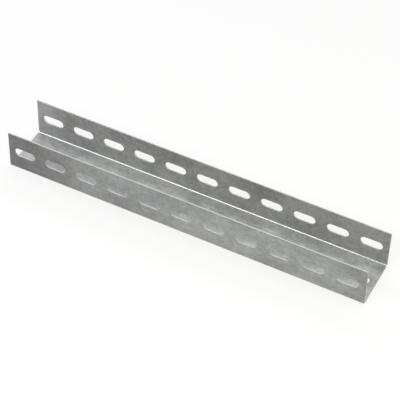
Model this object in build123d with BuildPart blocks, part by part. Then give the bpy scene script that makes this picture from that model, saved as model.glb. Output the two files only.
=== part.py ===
"""Slotted U strut channel: one strip of galvanised steel, pierced and cold-bent.

The channel lies on its web with the open side up. X runs along the length,
Y across the web, and Z up from the web's underside. The origin is at the
bottom centre: mid-length and mid-width, on the underside of the web.
"""

import os

from build123d import *

# Strip and bent section
sheet = 2.0  # thickness of the steel
width = 80.0  # over the outsides of the two flanges
height = 63.0  # underside of the web to the flanges' top edges
inner_bend_radius = 1.2  # inside of the two cold bends

# Slot rows: one down the web and one down each flange, in step with each other
slot_pitch = 50.0  # centre to centre along the length
slot_count = 11  # slots in each row
slot_length = 33.0  # end to end, over both round ends
web_slot_width = 14.0
flange_slot_width = 14.0
flange_slot_height = 32.5  # underside of the web to the flange rows' centre line
end_margin = 26.0  # each cut end to the centre of the nearest slot

length = (slot_count - 1) * slot_pitch + 2 * end_margin
outer_bend_radius = inner_bend_radius + sheet

with BuildPart() as channel:
    # Section of the bent strip: its outside line from one flange's top edge down,
    # across the web and up again, then the thickness laid on the inside of it
    with BuildSketch(Plane.YZ):
        with BuildLine():
            FilletPolyline(
                (-width / 2, height),
                (-width / 2, 0),
                (width / 2, 0),
                (width / 2, height),
                radius=outer_bend_radius,
            )
            offset(amount=sheet, side=Side.LEFT)
        make_face()
    extrude(amount=length / 2, both=True)

    # Obround slots down the middle of the web, punched straight through
    with BuildSketch(Plane.XY):
        with GridLocations(slot_pitch, 1, slot_count, 1):
            SlotOverall(slot_length, web_slot_width)
    extrude(amount=sheet, mode=Mode.SUBTRACT)

    # Obround slots down both flanges, opposite each other
    with BuildSketch(Plane.XZ.offset(-width / 2)):
        with Locations((0, flange_slot_height)):
            with GridLocations(slot_pitch, 1, slot_count, 1):
                SlotOverall(slot_length, flange_slot_width)
    extrude(amount=width, mode=Mode.SUBTRACT)

channel.part.label = "channel"
os.makedirs("parts", exist_ok=True)
export_step(channel.part, "parts/channel.step")
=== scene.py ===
"""Slotted strut channel in galvanised steel: its finish, its stage and its camera.

The channel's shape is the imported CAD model, which is loaded first as a fixed frame.
Blender works in metres here. The sizes that a user sets are in millimetres.
"""

import math

import bpy
from bpy.props import FloatProperty, FloatVectorProperty, PointerProperty
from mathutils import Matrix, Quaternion, Vector


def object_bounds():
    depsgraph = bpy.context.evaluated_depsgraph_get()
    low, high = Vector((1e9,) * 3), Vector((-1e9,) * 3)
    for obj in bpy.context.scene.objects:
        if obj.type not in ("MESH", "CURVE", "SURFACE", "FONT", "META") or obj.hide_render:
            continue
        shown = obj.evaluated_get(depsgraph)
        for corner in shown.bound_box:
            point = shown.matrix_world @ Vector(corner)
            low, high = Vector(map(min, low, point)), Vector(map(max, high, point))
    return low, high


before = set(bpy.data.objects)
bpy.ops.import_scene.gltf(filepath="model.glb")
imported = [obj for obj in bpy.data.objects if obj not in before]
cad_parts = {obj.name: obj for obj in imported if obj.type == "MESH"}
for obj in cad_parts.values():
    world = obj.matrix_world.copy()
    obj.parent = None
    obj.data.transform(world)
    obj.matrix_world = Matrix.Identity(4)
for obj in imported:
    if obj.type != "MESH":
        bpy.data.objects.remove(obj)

bl_info = {
    "name": "Slotted Strut Channel",
    "version": (1, 0, 0),
    "blender": (4, 5, 0),
    "location": "3D View > Sidebar > Strut",
    "description": "Finishes a slotted U channel in galvanised steel and sets it on a plain stage",
    "category": "Object",
}

MM = 0.001  # one millimetre in metres
CHANNEL = "channel"  # the CAD node, which is one bent strip
CAD_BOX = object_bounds()

# Mesh: points this close are joined, and edges sharper than this many degrees are rounded
WELD_REACH = 0.001 * MM
SHARP_EDGE = 40

# Finish: a point counts as cut when it lies this much deeper in the sheet than its faces
CUT_SLACK = 0.05 * MM
# How far the mixed tone reaches either side of its middle before it is a plain zinc colour
TONE_REACH = 0.13
# A streak is longer than it is wide by one over this number
STREAK_STRETCH = 0.03
# Depth of the coating's grain
GRAIN_DEPTH = 0.04 * MM
# Inside the bends the zinc is nearly bare metal, and smoother
BEND_METALLIC = 0.95
BEND_ROUGHNESS = 0.3

# Stage, in metres: the floor reaches past every view, and the lamps are plain rectangles
FLOOR_SIZE = 60.0
STRIP = (2.0, 0.5)
BOX = (1.2, 0.8)
# How much of the floor is seen as an even white ground
GROUND_SHARE = 0.75
SENSOR_WIDTH = 36.0  # mm


def linear(hex_code):
    """Turn an sRGB hex colour such as #8F9291 into the linear RGB that Blender mixes in."""
    values = [int(hex_code[i : i + 2], 16) / 255 for i in (1, 3, 5)]
    return tuple(v / 12.92 if v <= 0.04045 else ((v + 0.055) / 1.055) ** 2.4 for v in values)


def add_node(tree, kind, inputs=None, **settings):
    """Add one node: settings are its attributes, and each input takes a value or a socket's link."""
    node = tree.nodes.new(kind)
    for name, value in settings.items():
        setattr(node, name, value)
    for name, value in (inputs or {}).items():
        if isinstance(value, bpy.types.NodeSocket):
            tree.links.new(value, node.inputs[name])
        else:
            node.inputs[name].default_value = value
    return node


class StrutFinishSettings(bpy.types.PropertyGroup):
    """Sizes and colours of the zinc coating and of the cut edges"""

    sheet: FloatProperty(
        name="Sheet",
        description="Thickness of the steel strip, in mm",
        default=2.0,
        min=0.5,
        max=6.0,
    )
    inner_bend: FloatProperty(
        name="Inner bend radius",
        description="Radius inside the two bends, in mm",
        default=1.2,
        min=0.0,
        max=10.0,
    )
    edge_radius: FloatProperty(
        name="Edge radius",
        description="Rounding that punching, shearing and the coating leave on every cut edge, in mm",
        default=0.3,
        min=0.0,
        max=0.8,
    )
    spangle: FloatProperty(
        name="Spangle",
        description="Width of one zinc crystal, in mm",
        default=5.0,
        min=1.0,
        max=40.0,
    )
    cloud: FloatProperty(
        name="Cloud",
        description="Width of the soft patches where the coating cooled at different speeds, in mm",
        default=70.0,
        min=5.0,
        max=500.0,
    )
    streak: FloatProperty(
        name="Streak",
        description="Width of one streak along the rolling direction, in mm",
        default=2.5,
        min=0.2,
        max=20.0,
    )
    grain: FloatProperty(
        name="Grain",
        description="Width of the coating's grain, in mm, coarser than the real one so that it shows",
        default=1.6,
        min=0.1,
        max=10.0,
    )
    zinc_light: FloatVectorProperty(
        name="Zinc, light",
        description="Colour of the brighter zinc crystals",
        subtype="COLOR",
        default=linear("#989B9A"),
        min=0.0,
        max=1.0,
    )
    zinc_dark: FloatVectorProperty(
        name="Zinc, dark",
        description="Colour of the duller zinc between them",
        subtype="COLOR",
        default=linear("#757877"),
        min=0.0,
        max=1.0,
    )
    cut_steel: FloatVectorProperty(
        name="Cut edge",
        description="Colour of the sheared and punched edges, a little brighter than the coating",
        subtype="COLOR",
        default=linear("#929493"),
        min=0.0,
        max=1.0,
    )
    # Painted highlight: a brighter colour inside the two bends, so that they show as a bright line
    bend_highlight_colour: FloatVectorProperty(
        name="Inner bend",
        description="Colour of the zinc that the bending tool rubbed bright inside the two bends",
        subtype="COLOR",
        default=linear("#DADCDB"),
        min=0.0,
        max=1.0,
    )
    metallic: FloatProperty(
        name="Metallic",
        description="Share of bare metal in the coating's look, the rest being its dull skin of oxide",
        default=0.38,
        min=0.0,
        max=1.0,
    )
    roughness: FloatProperty(
        name="Roughness",
        description="Mean roughness of the coating",
        default=0.45,
        min=0.05,
        max=1.0,
    )
    # Painted shade: how bright the front flange's outside stays at its left end, where less light
    # falls
    painted_shade_end: FloatProperty(
        name="Dull end",
        description="Brightness of the front flange's outside at its left end, 1 being as elsewhere",
        default=0.52,
        min=0.0,
        max=1.0,
    )
    # Painted shade: how far from the left end the front flange's outside is darkened
    painted_shade_length: FloatProperty(
        name="Dull length",
        description="How far from that end the duller zinc reaches, in mm",
        default=200.0,
        min=1.0,
        max=1000.0,
    )


class StrutStageSettings(bpy.types.PropertyGroup):
    """Floor, lights and camera round the channel"""

    floor_colour: FloatVectorProperty(
        name="Floor",
        description="Colour of the seamless paper under the channel",
        subtype="COLOR",
        default=linear("#B8B8B8"),
        min=0.0,
        max=1.0,
    )
    front_lamp: FloatVectorProperty(
        name="Front lamp",
        description="Colour of the long strip in front, which is slightly warm",
        subtype="COLOR",
        default=linear("#FFFBF7"),
        min=0.0,
        max=1.0,
    )
    right_lamp: FloatVectorProperty(
        name="Right lamp",
        description="Colour of the soft box past the right end, which is warm",
        subtype="COLOR",
        default=linear("#FFF9F0"),
        min=0.0,
        max=1.0,
    )
    left_lamp: FloatVectorProperty(
        name="Left lamp",
        description="Colour of the soft box past the left end, which is cool",
        subtype="COLOR",
        default=linear("#EFF8FF"),
        min=0.0,
        max=1.0,
    )
    fill: FloatProperty(
        name="Fill",
        description="Strength of the even white light from all round",
        default=0.25,
        min=0.0,
        max=1.0,
    )
    aim: FloatVectorProperty(
        name="Aim",
        description="Point that the camera looks at, from the channel's middle, in mm",
        subtype="XYZ",
        default=(7.6, 2.0, -1.6),
    )
    azimuth: FloatProperty(
        name="Azimuth",
        description="Camera's direction from the front towards the right end, in degrees",
        default=26.27,
    )
    elevation: FloatProperty(
        name="Elevation",
        description="Camera's height above the horizon, in degrees",
        default=45.47,
    )
    roll: FloatProperty(
        name="Roll",
        description="Tilt of the camera about its own line of sight, in degrees",
        default=1.73,
    )
    distance: FloatProperty(
        name="Distance",
        description="Camera to the point it looks at, in mm",
        default=2270.8,
    )
    lens: FloatProperty(
        name="Lens",
        description="Focal length, in mm",
        default=147.71,
    )


def section_masks(tree, place, finish):
    """Return two sockets: 1 on the sheared and punched edges, and 1 inside the two bends.

    The section's middle line is a U with two round corners. A point on a face of
    the sheet is half its thickness from that line, and a point on a cut is nearer.
    """
    half_sheet = finish.sheet / 2 * MM
    corner = finish.inner_bend * MM + half_sheet
    half_width = (CAD_BOX[1].y - CAD_BOX[0].y) / 2
    axes = add_node(tree, "ShaderNodeSeparateXYZ", {"Vector": place})
    side = add_node(tree, "ShaderNodeMath", {0: axes.outputs["Y"]}, operation="ABSOLUTE")
    # How far the point lies past the web's flat part, and how far under the flange's flat part
    past = add_node(
        tree,
        "ShaderNodeMath",
        {0: side.outputs[0], 1: half_width - half_sheet - corner},
        operation="SUBTRACT",
    )
    under = add_node(
        tree, "ShaderNodeMath", {0: half_sheet + corner, 1: axes.outputs["Z"]}, operation="SUBTRACT"
    )
    pair = add_node(tree, "ShaderNodeCombineXYZ", {"X": past.outputs[0], "Y": under.outputs[0]})
    beyond = add_node(tree, "ShaderNodeVectorMath", {0: pair.outputs[0]}, operation="MAXIMUM")
    reach = add_node(tree, "ShaderNodeVectorMath", {0: beyond.outputs[0]}, operation="LENGTH")
    larger = add_node(
        tree, "ShaderNodeMath", {0: past.outputs[0], 1: under.outputs[0]}, operation="MAXIMUM"
    )
    within = add_node(tree, "ShaderNodeMath", {0: larger.outputs[0], 1: 0.0}, operation="MINIMUM")
    total = add_node(
        tree, "ShaderNodeMath", {0: reach.outputs["Value"], 1: within.outputs[0]}, operation="ADD"
    )
    from_line = add_node(
        tree, "ShaderNodeMath", {0: total.outputs[0], 1: corner}, operation="SUBTRACT"
    )
    depth = add_node(tree, "ShaderNodeMath", {0: from_line.outputs[0]}, operation="ABSOLUTE")
    cut = add_node(
        tree,
        "ShaderNodeMath",
        {0: depth.outputs[0], 1: half_sheet - CUT_SLACK},
        operation="LESS_THAN",
    )
    smaller = add_node(
        tree, "ShaderNodeMath", {0: past.outputs[0], 1: under.outputs[0]}, operation="MINIMUM"
    )
    at_corner = add_node(
        tree, "ShaderNodeMath", {0: smaller.outputs[0], 1: 0.0}, operation="GREATER_THAN"
    )
    inward = add_node(tree, "ShaderNodeMath", {0: from_line.outputs[0], 1: 0.0}, operation="LESS_THAN")
    bend = add_node(
        tree, "ShaderNodeMath", {0: at_corner.outputs[0], 1: inward.outputs[0]}, operation="MULTIPLY"
    )
    return cut.outputs[0], bend.outputs[0]


def galvanised_steel(finish):
    """Continuously galvanised sheet steel, bent and left as it comes.

    Zinc freezes in flat crystals that face slightly different ways, so the
    surface is a satin grey in soft cool patches. The cuts are brighter, and the
    inside of the two bends has a painted highlight: a brighter, more metallic
    colour that reads as a bright line.
    """
    material = bpy.data.materials.new("galvanised_sheet_steel")
    material.use_nodes = True
    tree = material.node_tree
    tree.nodes.clear()
    place = add_node(tree, "ShaderNodeTexCoord").outputs["Object"]

    # Spangle: each crystal has a tone of its own
    crystals = add_node(
        tree, "ShaderNodeTexVoronoi", {"Vector": place, "Scale": 1 / (finish.spangle * MM)}
    )
    crystal_tone = add_node(tree, "ShaderNodeSeparateColor", {"Color": crystals.outputs["Color"]})
    # Clouds where the coating cooled at different speeds
    clouds = add_node(
        tree,
        "ShaderNodeTexNoise",
        {"Vector": place, "Scale": 1 / (finish.cloud * MM), "Detail": 3.0, "Roughness": 0.55},
    )
    # Streaks along the rolling direction
    stretched = add_node(
        tree, "ShaderNodeVectorMath", {0: place, 1: (STREAK_STRETCH, 1.0, 1.0)}, operation="MULTIPLY"
    )
    streaks = add_node(
        tree,
        "ShaderNodeTexNoise",
        {"Vector": stretched.outputs[0], "Scale": 1 / (finish.streak * MM), "Detail": 2.0},
    )
    # Grain of the zinc, drawn coarser than the real one, which is under 0.5 mm, so that it shows
    grain = add_node(
        tree,
        "ShaderNodeTexNoise",
        {"Vector": place, "Scale": 1 / (finish.grain * MM), "Detail": 1.0},
    )
    # Each layer takes its share of the tone so far
    tone = clouds.outputs["Fac"]
    for layer, share in (
        (crystal_tone.outputs["Red"], 0.22),
        (streaks.outputs["Fac"], 0.2),
        (grain.outputs["Fac"], 0.3),
    ):
        mix = add_node(tree, "ShaderNodeMix", {0: share, 2: tone, 3: layer}, data_type="FLOAT")
        tone = mix.outputs[0]
    # The mixed layers bunch round their middle, so they are spread over the two zinc colours
    spread = add_node(
        tree, "ShaderNodeMapRange", {0: tone, 1: 0.5 - TONE_REACH, 2: 0.5 + TONE_REACH}
    )
    zinc = add_node(
        tree,
        "ShaderNodeMix",
        {0: spread.outputs[0], 6: (*finish.zinc_dark, 1.0), 7: (*finish.zinc_light, 1.0)},
        data_type="RGBA",
    )
    cut, bend = section_masks(tree, place, finish)
    # Painted shade: the front flange's outside is darkened towards its left end, where less light
    # falls
    left_end = CAD_BOX[0].x
    axes = add_node(tree, "ShaderNodeSeparateXYZ", {"Vector": place})
    bright = add_node(
        tree,
        "ShaderNodeMapRange",
        {
            "Value": axes.outputs["X"],
            "From Min": left_end,
            "From Max": left_end + finish.painted_shade_length * MM,
            "To Min": finish.painted_shade_end,
        },
        interpolation_type="SMOOTHSTEP",
    )
    elsewhere = add_node(
        tree,
        "ShaderNodeMath",
        {0: axes.outputs["Y"], 1: CAD_BOX[0].y + finish.sheet / 2 * MM},
        operation="GREATER_THAN",
    )
    bright = add_node(
        tree, "ShaderNodeMath", {0: bright.outputs[0], 1: elsewhere.outputs[0]}, operation="MAXIMUM"
    )
    zinc = add_node(
        tree,
        "ShaderNodeMix",
        {0: 1.0, 6: zinc.outputs[2], 7: bright.outputs[0]},
        data_type="RGBA",
        blend_type="MULTIPLY",
    )
    colour = add_node(
        tree,
        "ShaderNodeMix",
        {0: cut, 6: zinc.outputs[2], 7: (*finish.cut_steel, 1.0)},
        data_type="RGBA",
    )
    # Painted highlight: the inside of the two bends takes the brighter highlight colour
    colour = add_node(
        tree,
        "ShaderNodeMix",
        {0: bend, 6: colour.outputs[2], 7: (*finish.bend_highlight_colour, 1.0)},
        data_type="RGBA",
    )
    metal = add_node(
        tree, "ShaderNodeMix", {0: bend, 2: finish.metallic, 3: BEND_METALLIC}, data_type="FLOAT"
    )
    rough = add_node(
        tree, "ShaderNodeMix", {0: bend, 2: finish.roughness, 3: BEND_ROUGHNESS}, data_type="FLOAT"
    )
    ripple = add_node(
        tree, "ShaderNodeBump", {"Distance": GRAIN_DEPTH, "Height": grain.outputs["Fac"]}
    )
    shader = add_node(
        tree,
        "ShaderNodeBsdfPrincipled",
        {
            "Normal": ripple.outputs["Normal"],
            "Base Color": colour.outputs[2],
            "Metallic": metal.outputs[0],
            "Roughness": rough.outputs[0],
        },
    )
    add_node(tree, "ShaderNodeOutputMaterial", {"Surface": shader.outputs["BSDF"]})
    return material


class STRUT_OT_finish_channel(bpy.types.Operator):
    """Round the channel's cut edges and give it its galvanised finish"""

    bl_idname = "strut.finish_channel"
    bl_label = "Finish Channel"

    def execute(self, context):
        finish = context.scene.strut_finish
        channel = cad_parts[CHANNEL]
        channel.data.materials.clear()
        channel.data.materials.append(galvanised_steel(finish))
        weld = channel.modifiers.new("join_faces", "WELD")
        weld.merge_threshold = WELD_REACH
        bevel = channel.modifiers.new("rounded_cut_edges", "BEVEL")
        bevel.width = finish.edge_radius * MM
        bevel.segments = 2
        bevel.limit_method = "ANGLE"
        bevel.angle_limit = math.radians(SHARP_EDGE)
        bevel.harden_normals = True
        return {"FINISHED"}


def seamless_paper(colour):
    """Seamless studio paper, matt and pale grey.

    The camera, the metal and any glass see it mostly as an even white ground,
    so that the sweep has no edge and the shadow on it stays light.
    """
    paper = bpy.data.materials.new("pale_seamless_paper")
    paper.use_nodes = True
    tree = paper.node_tree
    tree.nodes.clear()
    matt = add_node(tree, "ShaderNodeBsdfDiffuse", {"Color": (*colour, 1.0)})
    even = add_node(tree, "ShaderNodeEmission", {"Color": (1.0, 1.0, 1.0, 1.0), "Strength": 1.0})
    rays = add_node(tree, "ShaderNodeLightPath")
    seen = add_node(
        tree,
        "ShaderNodeMath",
        {0: rays.outputs["Is Camera Ray"], 1: rays.outputs["Is Glossy Ray"]},
        operation="ADD",
    )
    seen = add_node(
        tree,
        "ShaderNodeMath",
        {0: seen.outputs[0], 1: rays.outputs["Is Transmission Ray"]},
        operation="ADD",
    )
    share = add_node(
        tree,
        "ShaderNodeMath",
        {0: seen.outputs[0], 1: GROUND_SHARE},
        operation="MULTIPLY",
        use_clamp=True,
    )
    ground = add_node(
        tree, "ShaderNodeMixShader", {0: share.outputs[0], 1: matt.outputs[0], 2: even.outputs[0]}
    )
    add_node(tree, "ShaderNodeOutputMaterial", {"Surface": ground.outputs[0]})
    return paper


def area_light(name, place, target, size, power, colour=(1.0, 1.0, 1.0)):
    """Hang one soft lamp at a place in metres, facing a target, with its power in watts."""
    data = bpy.data.lights.new(name, "AREA")
    data.shape = "RECTANGLE"
    data.size, data.size_y = size
    data.energy = power
    data.color = colour
    lamp = bpy.data.objects.new(name, data)
    lamp.location = place
    lamp.rotation_mode = "QUATERNION"
    lamp.rotation_quaternion = (Vector(target) - Vector(place)).to_track_quat("-Z", "Y")
    bpy.context.scene.collection.objects.link(lamp)


class STRUT_OT_build_stage(bpy.types.Operator):
    """Lay the floor, hang the soft lights and set the camera"""

    bl_idname = "strut.build_stage"
    bl_label = "Build Stage"

    def execute(self, context):
        stage = context.scene.strut_stage
        low, high = CAD_BOX
        centre = (low + high) / 2

        bpy.ops.mesh.primitive_plane_add(size=FLOOR_SIZE, location=(0.0, 0.0, low.z))
        floor = context.object
        floor.name = "floor"
        floor.data.materials.append(seamless_paper(stage.floor_colour))

        world = bpy.data.worlds.new("white_studio")
        world.use_nodes = True
        sky = world.node_tree.nodes["Background"]
        sky.inputs["Color"].default_value = (1, 1, 1, 1)
        sky.inputs["Strength"].default_value = stage.fill
        context.scene.world = world

        # The strips hang parallel to the channel and a little to its left, so that the inside
        # of a bend shows them as one long line
        along = -0.3
        over = centre + Vector((along, 0.0, 0.0))
        area_light("front_strip", (along, -0.9, 1.13), over, STRIP, 27.0, stage.front_lamp)
        area_light("right_box", (1.45, 0.0, 0.9), centre, BOX, 30.0, stage.right_lamp)
        area_light("back_strip", (along, 0.9, 1.13), over, STRIP, 14.0)
        area_light("left_box", (-1.45, 0.0, 0.9), centre, BOX, 15.0, stage.left_lamp)

        turn, rise = math.radians(stage.azimuth), math.radians(stage.elevation)
        level_way = Vector((math.sin(turn), -math.cos(turn), 0.0))
        back = level_way * math.cos(rise) + Vector((0.0, 0.0, math.sin(rise)))
        camera = bpy.data.objects.new("camera", bpy.data.cameras.new("camera"))
        camera.data.sensor_width = SENSOR_WIDTH
        camera.data.lens = stage.lens
        aim = centre + Vector(stage.aim) * MM
        camera.location = aim + back * stage.distance * MM
        camera.rotation_mode = "QUATERNION"
        level = (-back).to_track_quat("-Z", "Y")
        camera.rotation_quaternion = level @ Quaternion((0, 0, 1), math.radians(stage.roll))
        context.scene.collection.objects.link(camera)
        context.scene.camera = camera
        context.scene.view_settings.view_transform = "Standard"
        return {"FINISHED"}


class STRUT_PT_panel(bpy.types.Panel):
    """Sidebar panel that lists the steps in order"""

    bl_idname = "STRUT_PT_panel"
    bl_label = "Strut Channel"
    bl_space_type = "VIEW_3D"
    bl_region_type = "UI"
    bl_category = "Strut"

    def draw(self, context):
        layout = self.layout
        for settings in (context.scene.strut_finish, context.scene.strut_stage):
            box = layout.box()
            for name in settings.__annotations__:
                box.prop(settings, name)
        for step in STEPS:
            layout.operator(step.bl_idname)


STEPS = (STRUT_OT_finish_channel, STRUT_OT_build_stage)
CLASSES = (StrutFinishSettings, StrutStageSettings, *STEPS, STRUT_PT_panel)


def register():
    for cls in CLASSES:
        bpy.utils.register_class(cls)
    bpy.types.Scene.strut_finish = PointerProperty(type=StrutFinishSettings)
    bpy.types.Scene.strut_stage = PointerProperty(type=StrutStageSettings)


def unregister():
    del bpy.types.Scene.strut_stage
    del bpy.types.Scene.strut_finish
    for cls in reversed(CLASSES):
        bpy.utils.unregister_class(cls)


def main():
    register()
    bpy.ops.strut.finish_channel()
    bpy.ops.strut.build_stage()


if __name__ == "__main__":
    main()
